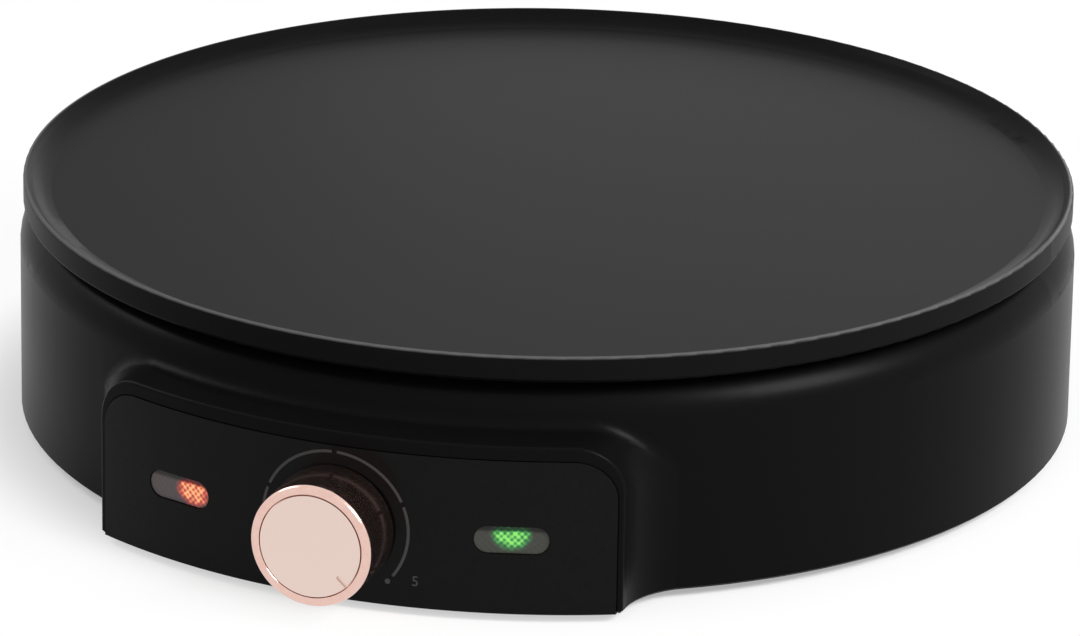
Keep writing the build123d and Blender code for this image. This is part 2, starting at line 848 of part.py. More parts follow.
stat_front_radius = sqrt(wall_inner_radius**2 - (stat_width / 2) ** 2) - stat_gap
stat_back_radius = stat_front_radius - stat_depth
bush_end_radius = seat_radius + nut_gap + nut_thickness + bush_proud
shaft_start_radius = stat_front_radius - shaft_engagement
shaft_end_radius = knob_front - knob_front_thickness + shaft_bite
with BuildPart() as thermostat_body:
    with BuildSketch(on_face(stat_back_radius, control_z)):
        RectangleRounded(stat_width, stat_height, stat_corner_round)
    extrude(amount=stat_depth)
    with BuildSketch(on_face(stat_front_radius, control_z)):
        Circle(bush_radius)
    extrude(amount=bush_end_radius - stat_front_radius)
    with BuildSketch(on_face(shaft_start_radius - shaft_end_gap, control_z)):
        Circle(shaft_radius + shaft_clearance)
    extrude(amount=bush_end_radius - shaft_start_radius + shaft_end_gap, mode=Mode.SUBTRACT)
finish(thermostat_body, "thermostat_body")

with BuildPart() as thermostat_nut:
    with BuildSketch(on_face(seat_radius + nut_gap, control_z)):
        RegularPolygon(nut_corner_radius, nut_sides)
        Circle(bush_radius + thread_clearance, mode=Mode.SUBTRACT)
    extrude(amount=nut_thickness)
finish(thermostat_nut, "thermostat_nut")

with BuildPart() as thermostat_tabs:
    with BuildSketch(on_face(stat_back_radius, control_z)):
        with GridLocations(tab_spacing, 0, 2, 1):
            Rectangle(sheet, tab_width)
    extrude(amount=-tab_length)
finish(thermostat_tabs, "thermostat_tabs")

# Shaft with a flat over the length that the knob grips
with BuildPart() as thermostat_shaft:
    with BuildSketch(on_face(shaft_start_radius, control_z)):
        Circle(shaft_radius)
    extrude(amount=shaft_end_radius - shaft_start_radius)
    with BuildSketch(on_face(bush_end_radius + shaft_flat_setback, control_z)):
        with Locations((0, shaft_flat + shaft_radius)):
            Rectangle(4 * shaft_radius, 2 * shaft_radius)
    extrude(amount=knob_length, mode=Mode.SUBTRACT)
finish(thermostat_shaft, "thermostat_shaft")

# ---- Knob --------------------------------------------------------------------------

recess_floor_radius = knob_front - knob_lip_depth
hub_back_radius = knob_back + hub_recess
flat_height = shaft_flat + spring_thickness + 2 * spring_gap
with BuildPart() as knob:
    with BuildSketch(on_face(knob_back, control_z)):
        Circle(knob_radius)
    extrude(amount=knob_length)
    with BuildSketch(on_face(knob_back, control_z)):
        Circle(knob_radius - knob_wall)
    extrude(amount=knob_length - knob_front_thickness, mode=Mode.SUBTRACT)
    with BuildSketch(on_face(hub_back_radius, control_z)):
        Circle(hub_radius)
    extrude(amount=knob_length - knob_front_thickness - hub_recess)
    with BuildSketch(on_face(knob_front, control_z)):
        Circle(knob_radius - knob_lip_width)
    extrude(amount=-knob_lip_depth, mode=Mode.SUBTRACT)
    fillet(knob.faces().sort_by(Axis.Y)[0].inner_wires()[0].edges(), knob_lip_round)
    fillet(knob.faces().sort_by(Axis.Y)[0].outer_wire().edges(), knob_edge_round)
    with BuildSketch(on_face(hub_back_radius, control_z)):
        Circle(shaft_radius + shaft_clearance)
        with Locations((0, flat_height + shaft_radius)):
            Rectangle(4 * shaft_radius, 2 * shaft_radius, mode=Mode.SUBTRACT)
    extrude(amount=shaft_end_radius + shaft_end_gap - hub_back_radius, mode=Mode.SUBTRACT)
finish(knob, "knob")

# Satin disc let into the front, with a groove that points to the setting
insert_radius = knob_radius - knob_lip_width - face_insert_gap
with BuildPart() as knob_face:
    with BuildSketch(on_face(recess_floor_radius, control_z)):
        Circle(insert_radius)
    extrude(amount=face_insert_thickness)
    with BuildSketch(on_face(recess_floor_radius + face_insert_thickness, control_z)):
        with PolarLocations((pointer_inner_radius + knob_radius) / 2, 1, start_angle=pointer_angle):
            SlotOverall(knob_radius - pointer_inner_radius, pointer_width)
    extrude(amount=-pointer_depth, mode=Mode.SUBTRACT)
finish(knob_face, "knob_face")

# Leaf between the shaft's flat and the hub
with BuildPart() as knob_spring:
    with BuildSketch(on_face(hub_back_radius + hub_recess, control_z)):
        with Locations((0, shaft_flat + spring_gap + spring_thickness / 2)):
            Rectangle(spring_width, spring_thickness)
    extrude(amount=spring_length)
finish(knob_spring, "knob_spring")

# ---- Base cover, feet and base screws ------------------------------------------------

cover_radius = cavity_radius - bottom_lip - base_clearance
post_spots = [
    (post_circle * cos(radians(angle)), post_circle * sin(radians(angle))) for angle in post_angles
]
post_spots += [(pod_post_x, pod_post_y), (-pod_post_x, pod_post_y)]
clamp_post_spots = [(clamp_post_x, clamp_y), (-clamp_post_x, clamp_y)]
counterbore_depth = m4_head_height + screw_clearance
with BuildPart() as base_cover:
    with BuildSketch(level(base_bottom_z)):
        add(pod_outline(wall_inner_radius - base_clearance, housing_wall + base_clearance))
        Circle(cover_radius)
    extrude(amount=base_thickness)
    with BuildSketch(level(base_top_z)):
        with Locations(*post_spots):
            Circle(post_radius)
    extrude(amount=base_boss_height)
    # Saddle and posts that carry the cord clamp
    with BuildSketch(level(base_top_z)):
        with Locations((0, clamp_y)):
            Rectangle(2 * clamp_post_x, clamp_depth)
    extrude(amount=gland_z - gland_bore_radius - base_top_z)
    with BuildSketch(level(base_top_z)):
        with Locations(*clamp_post_spots):
            Circle(clamp_post_radius)
    extrude(amount=gland_z - base_top_z)
    with BuildSketch(level(gland_z)):
        with Locations(*clamp_post_spots):
            Circle(m3_radius + thread_clearance)
    extrude(amount=clamp_thickness - clamp_screw_length, mode=Mode.SUBTRACT)
    # Screw holes, sunk from below
    with BuildSketch(level(base_bottom_z)):
        with Locations(*post_spots):
            Circle(m4_radius + screw_clearance)
    extrude(amount=base_thickness + base_boss_height, mode=Mode.SUBTRACT)
    with BuildSketch(level(base_bottom_z)):
        with Locations(*post_spots):
            Circle(m4_head_radius + screw_clearance)
    extrude(amount=counterbore_depth, mode=Mode.SUBTRACT)
    # Foot pockets and the holes for their stems
    with BuildSketch(level(base_bottom_z)):
        with PolarLocations(foot_circle, foot_count, start_angle=foot_start_angle):
            Circle(foot_radius + foot_clearance)
    extrude(amount=foot_pocket_depth, mode=Mode.SUBTRACT)
    with BuildSketch(level(base_bottom_z)):
        with PolarLocations(foot_circle, foot_count, start_angle=foot_start_angle):
            Circle(foot_stem_radius + foot_clearance)
    extrude(amount=base_thickness, mode=Mode.SUBTRACT)
    # Vents
    with BuildSketch(level(base_bottom_z)):
        with PolarLocations(outer_vent_radius, outer_vent_count):
            SlotOverall(outer_vent_length, vent_width)
        with PolarLocations(inner_vent_radius, inner_vent_count):
            SlotOverall(inner_vent_length, vent_width)
    extrude(amount=base_thickness, mode=Mode.SUBTRACT)
finish(base_cover, "base_cover")

base_screw = screw(
    Plane.XY.offset(base_bottom_z + counterbore_depth),
    m4_radius,
    m4_head_radius,
    m4_head_height,
    base_screw_length,
)
with BuildPart() as base_screws:
    with Locations((0, axis_y, 0)):
        with Locations(*post_spots):
            add(base_screw)
finish(base_screws, "base_screws")

# Push-in rubber feet: pad below, stem through the cover, barb above
with BuildPart() as rubber_feet:
    with BuildSketch(level(0)):
        with PolarLocations(foot_circle, foot_count, start_angle=foot_start_angle):
            Circle(foot_radius)
    extrude(amount=base_bottom_z + foot_pocket_depth)
    fillet(rubber_feet.edges().group_by(Axis.Z)[0], foot_edge_round)
    with BuildSketch(level(base_bottom_z)):
        with PolarLocations(foot_circle, foot_count, start_angle=foot_start_angle):
            Circle(foot_stem_radius)
    extrude(amount=base_thickness + foot_clearance)
    with BuildSketch(level(base_top_z + foot_clearance)):
        with PolarLocations(foot_circle, foot_count, start_angle=foot_start_angle):
            Circle(foot_barb_radius)
    extrude(amount=foot_barb_length)
    fillet(rubber_feet.edges().group_by(Axis.Z)[-1], foot_edge_round)
finish(rubber_feet, "rubber_feet")

# ---- Mains side ----------------------------------------------------------------------

gland_span = gland_outer_face - gland_inner_face
gland_plane = rearward(0, gland_inner_face, gland_z)
gland_tail_plane = gland_plane.offset(-gland_flange_thickness - gland_tail_length)
with BuildPart() as cord_gland:
    with BuildSketch(gland_plane):
        Circle(gland_flange_radius)
    extrude(amount=-gland_flange_thickness)
    with BuildSketch(gland_plane):
        Circle(gland_neck_radius)
    extrude(amount=gland_span)
    with BuildSketch(gland_plane.offset(gland_span)):
        Circle(gland_flange_radius)
    extrude(amount=gland_flange_thickness)
    fillet(cord_gland.edges().sort_by(Axis.Y)[-1], foot_edge_round)
    with BuildSketch(gland_tail_plane):
        Circle(gland_bore_radius + gland_tail_wall)
    extrude(amount=gland_tail_length)
    with BuildSketch(gland_tail_plane):
        Circle(gland_bore_radius)
    extrude(amount=gland_tail_length + gland_span + 2 * gland_flange_thickness, mode=Mode.SUBTRACT)
finish(cord_gland, "cord_gland")

with BuildPart() as cord_clamp:
    with BuildSketch(level(gland_z)):
        with Locations((0, clamp_y)):
            RectangleRounded(clamp_length, clamp_depth, clamp_corner_round)
        with Locations(*clamp_post_spots):
            Circle(m3_radius + screw_clearance, mode=Mode.SUBTRACT)
    extrude(amount=clamp_thickness)
    with BuildSketch(rearward(0, clamp_y - clamp_depth, gland_z)):
        Circle(gland_bore_radius - clamp_grip)
    extrude(amount=2 * clamp_depth, mode=Mode.SUBTRACT)
finish(cord_clamp, "cord_clamp")

clamp_screw = screw(
    Plane((0, 0, gland_z + clamp_thickness), x_dir=(1, 0, 0), z_dir=(0, 0, -1)),
    m3_radius,
    m3_head_radius,
    m3_head_height,
    clamp_screw_length - screw_clearance,
)
with BuildPart() as clamp_screws:
    with Locations((0, axis_y, 0)):
        with Locations(*clamp_post_spots):
            add(clamp_screw)
finish(clamp_screws, "clamp_screws")

# Three-way block: wires enter along Y, screws come down onto them
block_top_z = base_top_z + block_height
block_screw_rows = block_depth / 2
with BuildPart() as terminal_block:
    with BuildSketch(level(base_top_z, 0, block_y)):
        RectangleRounded(block_length, block_depth, clamp_corner_round)
    extrude(amount=block_height)
    with BuildSketch(rearward(0, block_y - block_depth, wire_z)):
        with GridLocations(block_pitch, 0, 3, 1):
            Circle(block_bore_radius)
    extrude(amount=2 * block_depth, mode=Mode.SUBTRACT)
    with BuildSketch(level(block_top_z, 0, block_y)):
        with GridLocations(block_pitch, block_screw_rows, 3, 2):
            Circle(m3_head_radius + screw_clearance)
    extrude(amount=-m3_head_height, mode=Mode.SUBTRACT)
    with BuildSketch(level(block_top_z, 0, block_y)):
        with GridLocations(block_pitch, block_screw_rows, 3, 2):
            Circle(m3_radius + thread_clearance)
    extrude(amount=wire_z - block_top_z, mode=Mode.SUBTRACT)
finish(terminal_block, "terminal_block")

terminal_screw_under_z = block_top_z - m3_head_height
terminal_screw = screw(
    Plane((0, 0, terminal_screw_under_z), x_dir=(1, 0, 0), z_dir=(0, 0, -1)),
    m3_radius,
    m3_head_radius,
    m3_head_height,
    terminal_screw_under_z - wire_z - wire_radius - wire_end_gap,
)
with BuildPart() as terminal_screws:
    with Locations((0, axis_y + block_y, 0)):
        with GridLocations(block_pitch, block_screw_rows, 3, 2):
            add(terminal_screw)
finish(terminal_screws, "terminal_screws")

# ---- Sensing bulb and thermal cut-out under the plate --------------------------------

bulb_z = underside_z - bulb_gap - bulb_radius
bulb_drop = underside_z - bulb_z
with BuildPart() as sensing_bulb:
    with BuildSketch(rearward(bulb_x, bulb_start_y, bulb_z)):
        Circle(bulb_radius)
    extrude(amount=bulb_length)
finish(sensing_bulb, "sensing_bulb")

# Bent strip that holds the bulb up against the plate
clip_inner_radius = bulb_radius + clip_gap
clip_outer_radius = clip_inner_radius + sheet
clip_plane = Plane(
    (bulb_x, axis_y + clip_y + clip_width / 2, underside_z), x_dir=(1, 0, 0), z_dir=(0, -1, 0)
)
with BuildPart() as bulb_clip:
    with BuildSketch(clip_plane):
        with Locations((0, -bulb_drop)):
            Circle(clip_outer_radius)
        with Locations((0, -bulb_drop / 2)):
            Rectangle(2 * clip_outer_radius, bulb_drop)
        with Locations((0, -sheet / 2)):
            Rectangle(2 * clip_wing, sheet)
        with Locations((0, -bulb_drop)):
            Circle(clip_inner_radius, mode=Mode.SUBTRACT)
        with Locations((0, -bulb_drop / 2)):
            Rectangle(2 * clip_inner_radius, bulb_drop, mode=Mode.SUBTRACT)
        with Locations((0, clip_outer_radius / 2)):
            Rectangle(2 * clip_outer_radius, clip_outer_radius, mode=Mode.SUBTRACT)
    extrude(amount=clip_width)
    with BuildSketch(level(underside_z, bulb_x, clip_y)):
        with Locations((clip_screw_x, 0)):
            Circle(m3_radius + screw_clearance)
    extrude(amount=-sheet, mode=Mode.SUBTRACT)
finish(bulb_clip, "bulb_clip")

ear_pitch = cutout_ear_length - cutout_ear_width
plate_under_screw = screw(
    Plane.XY.offset(underside_z - sheet), m3_radius, m3_head_radius, m3_head_height, clip_screw_length
)
with BuildPart() as sensor_screws:
    with Locations((bulb_x + clip_screw_x, axis_y + clip_y, 0)):
        add(plate_under_screw)
    with Locations((cutout_x, axis_y + cutout_y, 0)):
        with GridLocations(0, ear_pitch, 1, 2):
            add(plate_under_screw)
finish(sensor_screws, "sensor_screws")

with BuildPart() as thermal_cutout:
    with BuildSketch(level(underside_z, cutout_x, cutout_y)):
        SlotOverall(cutout_ear_length, cutout_ear_width, rotation=90)
        with GridLocations(0, ear_pitch, 1, 2):
            Circle(m3_radius + screw_clearance, mode=Mode.SUBTRACT)
    extrude(amount=-sheet)
    with BuildSketch(level(underside_z, cutout_x, cutout_y)):
        Circle(cutout_radius)
    extrude(amount=-cutout_height)
    with BuildSketch(level(underside_z - cutout_height, cutout_x, cutout_y)):
        Rectangle(2 * cutout_tab_reach, tab_width)
        Rectangle(tab_width, tab_width, mode=Mode.SUBTRACT)
    extrude(amount=-sheet)
finish(thermal_cutout, "thermal_cutout")

# ---- Earth tag and wires -------------------------------------------------------------

# Tongue of sheet under the shield, with a lug for the earth wire
with BuildPart() as earth_tag:
    with BuildSketch(level(shield_bottom_z, 0, earth_tag_y)):
        Rectangle(tab_width, earth_tag_length, align=(Align.CENTER, Align.MAX))
    extrude(amount=-sheet)
    with BuildSketch(level(shield_bottom_z, 0, earth_tag_y)):
        Rectangle(tab_width, sheet, align=(Align.CENTER, Align.MAX))
    extrude(amount=-earth_tag_drop)
finish(earth_tag, "earth_tag")

bore_end_y = block_y - wire_radius
tab_end_y = -(stat_back_radius - tab_length - wire_end_gap)
tab_x = tab_spacing / 2
cutout_tab_z = underside_z - cutout_height - sheet / 2
cutout_tab_end = cutout_tab_reach + wire_end_gap
pin_end_y = pin_length + wire_end_gap - leg_end
earth_z = shield_bottom_z - earth_tag_drop + wire_radius
capillary_z = control_z + capillary_rise

live_wire = tube(
    [
        (block_pitch, bore_end_y, wire_z),
        (block_pitch, block_lead_live_y, wire_z),
        (live_side_x, live_side_back_y, wire_z),
        (live_side_x, live_side_front_y, wire_z),
        (tab_x, tab_end_y + tab_lead, control_z),
        (tab_x, tab_end_y, control_z),
    ],
    wire_radius,
    wire_bend,
)
finish(live_wire, "live_wire")

switched_wire = tube(
    [
        (-tab_x, tab_end_y, control_z),
        (-tab_x, tab_end_y + tab_lead, control_z),
        (live_pass[0], switched_turn_y, control_z),
        (live_pass[0], live_pass[1], control_z),
        (live_pass[0], live_pass[1], cutout_tab_z),
        (live_pass[0], cutout_y, cutout_tab_z),
        (cutout_x - cutout_tab_end, cutout_y, cutout_tab_z),
    ],
    wire_radius,
    [wire_bend, wire_bend, wire_bend, wire_bend, short_bend],
)
finish(switched_wire, "switched_wire")

heater_link_wire = tube(
    [
        (cutout_x + cutout_tab_end, cutout_y, cutout_tab_z),
        (-leg_offset, cutout_y, cutout_tab_z),
        (-leg_offset, link_turn_y, heater_z),
        (-leg_offset, pin_end_y, heater_z),
    ],
    wire_radius,
    wire_bend,
)
finish(heater_link_wire, "heater_link_wire")

neutral_wire = tube(
    [
        (-block_pitch, bore_end_y, wire_z),
        (-block_pitch, block_lead_neutral_y, wire_z),
        (neutral_pass[0], neutral_turn_y, control_z),
        (neutral_pass[0], neutral_pass[1], control_z),
        (neutral_pass[0], neutral_pass[1], heater_z),
        (leg_offset, pin_end_y, heater_z),
    ],
    wire_radius,
    wire_bend,
)
finish(neutral_wire, "neutral_wire")

earth_wire = tube(
    [
        (0, bore_end_y, wire_z),
        (0, earth_tag_y + earth_loop, wire_z),
        (0, earth_tag_y + earth_loop, earth_z),
        (0, earth_tag_y + wire_end_gap, earth_z),
    ],
    wire_radius,
    short_bend,
)
finish(earth_wire, "earth_wire")

capillary_tube = tube(
    [
        (capillary_start_x, -(stat_back_radius - wire_end_gap), capillary_z),
        (capillary_start_x, capillary_turn_y, capillary_z),
        (capillary_pass[0], capillary_side_y, capillary_z),
        (capillary_pass[0], capillary_pass[1], capillary_z),
        (capillary_pass[0], capillary_pass[1], bulb_z),
        (bulb_x, bulb_start_y - wire_end_gap, bulb_z),
    ],
    capillary_radius,
    wire_bend,
)
finish(capillary_tube, "capillary_tube")

# One twin lead from each lamp to the thermostat's side
lamp_turn = window_arc / pod_radius
lamp_back_radius = lamp_front_radius - lamp_length - wire_end_gap
lead_out_radius = lamp_back_radius - lead_run
lead_side_x = stat_width / 2 + wire_end_gap
lead_y = -(stat_back_radius + stat_depth / 2)
with BuildPart() as lamp_leads:
    for side in (-1, 1):
        lead_route = [
            (side * lamp_back_radius * sin(lamp_turn), -lamp_back_radius * cos(lamp_turn), control_z),
            (side * lead_out_radius * sin(lamp_turn), -lead_out_radius * cos(lamp_turn), control_z),
            (side * (lead_side_x + lead_run), -lead_out_radius, control_z),
            (side * (lead_side_x + lead_run), lead_y, control_z),
            (side * lead_side_x, lead_y, control_z),
        ]
        add(tube(lead_route, lead_radius, short_bend).part)
finish(lamp_leads, "lamp_leads")
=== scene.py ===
from math import cos, radians, sin

import bmesh
import bpy
from mathutils import Matrix, Vector


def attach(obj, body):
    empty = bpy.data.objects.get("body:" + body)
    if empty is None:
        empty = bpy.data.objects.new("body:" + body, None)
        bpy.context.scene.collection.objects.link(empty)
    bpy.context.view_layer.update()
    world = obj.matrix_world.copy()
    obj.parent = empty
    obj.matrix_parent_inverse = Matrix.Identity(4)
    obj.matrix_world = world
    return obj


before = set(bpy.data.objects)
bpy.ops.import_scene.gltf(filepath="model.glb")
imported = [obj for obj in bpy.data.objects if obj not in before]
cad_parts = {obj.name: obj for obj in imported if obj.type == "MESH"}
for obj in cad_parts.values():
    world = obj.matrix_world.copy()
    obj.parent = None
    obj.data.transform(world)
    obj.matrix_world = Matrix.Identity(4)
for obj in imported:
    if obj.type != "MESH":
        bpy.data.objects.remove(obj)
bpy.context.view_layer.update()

# ---- Cooking plate -------------------------------------------------------------------
# Cast aluminium disc with a raised rim, turned on top and sprayed with a black non-stick
# coat. The coat is a hard, slightly pebbled film that takes broad soft light. A fine paler
# line along the rim's crest is a painted highlight in the coat's colour.

MM = 0.001
AXIS_Y = 15.925 * MM
CREST_RADIUS = 159.0 * MM
CREST_Z = 75.0 * MM
HIGHLIGHT_INSIDE = 0.4 * MM   # the painted highlight fades out this far inside the crest, outside it,
HIGHLIGHT_OUTSIDE = 0.2 * MM
HIGHLIGHT_BELOW = 0.5 * MM    # below it and above it
HIGHLIGHT_ABOVE = 0.1 * MM
PEBBLE = 0.7 * MM
PEBBLE_DEPTH = 0.006 * MM


def linear(hex_colour):
    """An sRGB colour such as "1a1a1b" as linear red, green, blue and alpha."""
    parts = [int(hex_colour[i:i + 2], 16) / 255 for i in (0, 2, 4)]
    lit = [p / 12.92 if p <= 0.04045 else ((p + 0.055) / 1.055) ** 2.4 for p in parts]
    return (*lit, 1.0)


def add(tree, kind, values):
    """Add a shader node; each value sets a property, fills a socket or joins it to an output."""
    made = tree.nodes.new("ShaderNode" + kind)
    for name, value in values.items():
        if isinstance(value, bpy.types.NodeSocket):
            tree.links.new(value, made.inputs[name])
        elif isinstance(name, str) and hasattr(made, name):
            setattr(made, name, value)
        else:
            made.inputs[name].default_value = value
    return made


def start_material(name):
    """An empty node material and the Object coordinates that its patterns are measured in."""
    made = bpy.data.materials.new(name)
    made.use_nodes = True
    made.node_tree.nodes.clear()
    return made, made.node_tree, add(made.node_tree, "TexCoord", {}).outputs["Object"]


def speckled(tree, where, grain, colours, spread=(0.35, 0.65)):
    """Noise with grains of a real size, as a height and as a colour between two close shades."""
    noise = add(tree, "TexNoise", {
        "Vector": where, "Scale": 1 / grain, "Detail": 3.0, "Roughness": 0.6,
    }).outputs["Fac"]
    level = add(tree, "MapRange", {0: noise, 1: spread[0], 2: spread[1], 3: 0.0, 4: 1.0})
    shade = add(tree, "Mix", {
        "data_type": "RGBA", 0: level.outputs[0], 6: linear(colours[0]), 7: linear(colours[1]),
    })
    return noise, shade.outputs[2]


def finish_surface(tree, shader, height, relief):
    """Join a shader to the material's output, with a relief of a real depth under it."""
    bump = add(tree, "Bump", {"Height": height, "Distance": relief, "Strength": 1.0})
    tree.links.new(bump.outputs["Normal"], shader.inputs["Normal"])
    add(tree, "OutputMaterial", {"Surface": shader.outputs[0]})


def dress(material, *names):
    """Give CAD nodes a material."""
    for name in names:
        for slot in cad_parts[name].material_slots:
            slot.material = material


nonstick, tree, where = start_material("non-stick coat on cast aluminium")
grain, shade = speckled(tree, where, PEBBLE, ("0e0e0e", "111111"))
from_crest = add(tree, "VectorMath", {
    "operation": "SUBTRACT", 0: where, 1: (0.0, AXIS_Y, CREST_Z),
})
level = add(tree, "VectorMath", {
    "operation": "MULTIPLY", 0: from_crest.outputs[0], 1: (1.0, 1.0, 0.0),
})
radius = add(tree, "VectorMath", {"operation": "LENGTH", 0: level.outputs[0]})
above = add(tree, "SeparateXYZ", {"Vector": from_crest.outputs[0]})
outer = add(tree, "MapRange", {
    "interpolation_type": "SMOOTHSTEP", 0: radius.outputs["Value"],
    1: CREST_RADIUS - HIGHLIGHT_INSIDE, 2: CREST_RADIUS + HIGHLIGHT_OUTSIDE, 3: 0.0, 4: 1.0,
})
upper = add(tree, "MapRange", {
    "interpolation_type": "SMOOTHSTEP", 0: above.outputs[2],
    1: -HIGHLIGHT_BELOW, 2: HIGHLIGHT_ABOVE, 3: 0.0, 4: 1.0,
})
# Painted highlight: a paler colour along the rim's crest stands in for the fine line of light
# there.
crest = add(tree, "Math", {"operation": "MULTIPLY", 0: outer.outputs[0], 1: upper.outputs[0]})
painted_crest_highlight = add(tree, "Mix", {
    "data_type": "RGBA", 0: crest.outputs[0], 6: shade, 7: linear("545454"),
})
shader = add(tree, "BsdfPrincipled", {
    "Base Color": painted_crest_highlight.outputs[2], "Roughness": 0.36, "Specular IOR Level": 0.025,
})
finish_surface(tree, shader, grain, PEBBLE_DEPTH)
dress(nonstick, "cooking_plate")

# ---- Upper housing -------------------------------------------------------------------
# Injection-moulded heat-proof plastic, dyed black. The mould is spark-eroded very fine,
# so the skin is a soft gloss with clear highlights on the shoulder and the flares. Its
# grain is finer than 0.1 mm and is drawn at 0.4 mm, so that it shows.

GLOSS_SPREAD = 0.04


def coat(name, colours, grain, relief, roughness, specular=0.5, metallic=0.0):
    """One finish that is the same all over: close shades, a grain and its relief."""
    made, tree, where = start_material(name)
    height, shade = speckled(tree, where, grain, colours)
    gloss = add(tree, "MapRange", {
        0: height, 1: 0.3, 2: 0.7, 3: roughness - GLOSS_SPREAD, 4: roughness + GLOSS_SPREAD,
    })
    shader = add(tree, "BsdfPrincipled", {
        "Base Color": shade, "Roughness": gloss.outputs[0],
        "Specular IOR Level": specular, "Metallic": metallic,
    })
    finish_surface(tree, shader, height, relief)
    return made


moulded_black = coat(
    "moulded black heat-proof plastic", ("0a0a0a", "0c0c0c"),
    grain=0.4 * MM, relief=0.001 * MM, roughness=0.32, specular=0.035,
)
dress(moulded_black, "upper_housing", "base_cover")

# ---- Control panel -------------------------------------------------------------------
# Separate curved cover of black plastic, let into the face of the pod and screwed from
# behind. Its mould is polished, so it mirrors the knob faintly, with a slow waviness of
# about 1.5 mm that the polishing leaves.

panel_black = coat(
    "polished black panel", ("0c0c0c", "0f0f0f"),
    grain=1.5 * MM, relief=0.0004 * MM, roughness=0.14, specular=0.07,
)
dress(panel_black, "control_panel")

# ---- Dial print ----------------------------------------------------------------------
# A broken ring and two dots, pad-printed on the panel in grey ink round the knob, with a
# plain number at each end of the knob's travel. The ink is matt and stands a hair proud.

PANEL_RADIUS = 176.3 * MM
CONTROL_Z = 25.2 * MM
RING_INNER = 22.05 * MM
RING_OUTER = 22.9 * MM
DOT_RADIUS = 0.8 * MM
FIGURE_SIZE = 4.4 * MM
FIGURE_ACROSS = 24.6 * MM
FIGURE_DROP = 14.6 * MM
INK = 0.06 * MM
grey_ink = coat(
    "grey pad-printing ink", ("383838", "3e3e3e"),
    grain=0.3 * MM, relief=0.002 * MM, roughness=0.5, specular=0.2,
)


def print_on_panel(name, flat):
    """Thicken a flat print that faces the user, wrap it round the panel's face and ink it."""
    raised = bmesh.ops.extrude_face_region(flat, geom=flat.faces[:])["geom"]
    front = [part for part in raised if isinstance(part, bmesh.types.BMVert)]
    bmesh.ops.translate(flat, vec=(0.0, -INK, 0.0), verts=front)
    bmesh.ops.recalc_face_normals(flat, faces=flat.faces[:])
    for vertex in flat.verts:
        reach, turn = PANEL_RADIUS - vertex.co.y, vertex.co.x / PANEL_RADIUS
        vertex.co = (reach * sin(turn), AXIS_Y - reach * cos(turn), CONTROL_Z + vertex.co.z)
    mesh = bpy.data.meshes.new(name)
    flat.to_mesh(mesh)
    flat.free()
    mesh.materials.append(grey_ink)
    made = bpy.data.objects.new(name, mesh)
    bpy.context.scene.collection.objects.link(made)
    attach(made, "cooker")


# Each stretch of the ring: where it starts and how far it runs, in degrees
STRETCHES = [(-37.0, 58.0), (25.0, 63.0), (92.0, 63.0), (159.0, 58.0)]
for number, (start, run) in enumerate(STRETCHES):
    stretch = bmesh.new()
    ends = [stretch.verts.new((reach, 0.0, 0.0)) for reach in (RING_INNER, RING_OUTER)]
    stretch.edges.new(ends)
    bmesh.ops.rotate(
        stretch, verts=ends, cent=(0, 0, 0), matrix=Matrix.Rotation(-radians(start), 3, "Y"),
    )
    bmesh.ops.spin(
        stretch, geom=stretch.verts[:] + stretch.edges[:], cent=(0, 0, 0), axis=(0, 1, 0),
        angle=-radians(run), steps=28,
    )
    print_on_panel("ring_print_%d" % number, stretch)

face_the_user = Matrix.Rotation(radians(90), 3, "X")
middle = (RING_INNER + RING_OUTER) / 2
for number, place in enumerate([-43.0, 223.0]):
    dot = bmesh.new()
    bmesh.ops.create_circle(dot, cap_ends=True, segments=24, radius=DOT_RADIUS)
    bmesh.ops.rotate(dot, verts=dot.verts[:], cent=(0, 0, 0), matrix=face_the_user)
    along = (middle * cos(radians(place)), 0.0, middle * sin(radians(place)))
    bmesh.ops.translate(dot, vec=along, verts=dot.verts[:])
    print_on_panel("dot_print_%d" % number, dot)

for figure, across in (("1", -FIGURE_ACROSS), ("5", FIGURE_ACROSS)):
    letter = bpy.data.curves.new("figure", "FONT")
    letter.body = figure
    letter.size = FIGURE_SIZE
    letter.align_x = "CENTER"
    letter.align_y = "CENTER"
    stand = bpy.data.objects.new("figure", letter)
    bpy.context.scene.collection.objects.link(stand)
    bpy.context.view_layer.update()
    finished = stand.evaluated_get(bpy.context.evaluated_depsgraph_get())
    outline = bpy.data.meshes.new_from_object(finished)
    bpy.data.objects.remove(stand)
    shape = bmesh.new()
    shape.from_mesh(outline)
    bmesh.ops.remove_doubles(shape, verts=shape.verts[:], dist=0.001 * MM)
    bmesh.ops.rotate(shape, verts=shape.verts[:], cent=(0, 0, 0), matrix=face_the_user)
    bmesh.ops.translate(shape, vec=(across, 0.0, -FIGURE_DROP), verts=shape.verts[:])
    print_on_panel("figure_print_" + figure, shape)

# ---- Indicator windows and lamps -----------------------------------------------------
# Clear polycarbonate windows with crossed prism ribs moulded inside, 2 mm apart. A small lamp
# stands behind each; its glow is painted light in the window's own emission, orange at one end
# on the left, green in the middle on the right, broken into bright lozenges and painted glints.

POD_RADIUS = 176.0 * MM
WINDOW_ARC = 52.3 * MM
RIB_PITCH = 2.0 * MM
RIB_RELIEF = 0.05        # the ribs' height by this share, as they lie inside the window
PAINTED_SHADE_START = 2.0 * MM    # painted shade, for the panel edge's shadow, darkens each window from here upwards
PAINTED_SHADE_END = 3.2 * MM


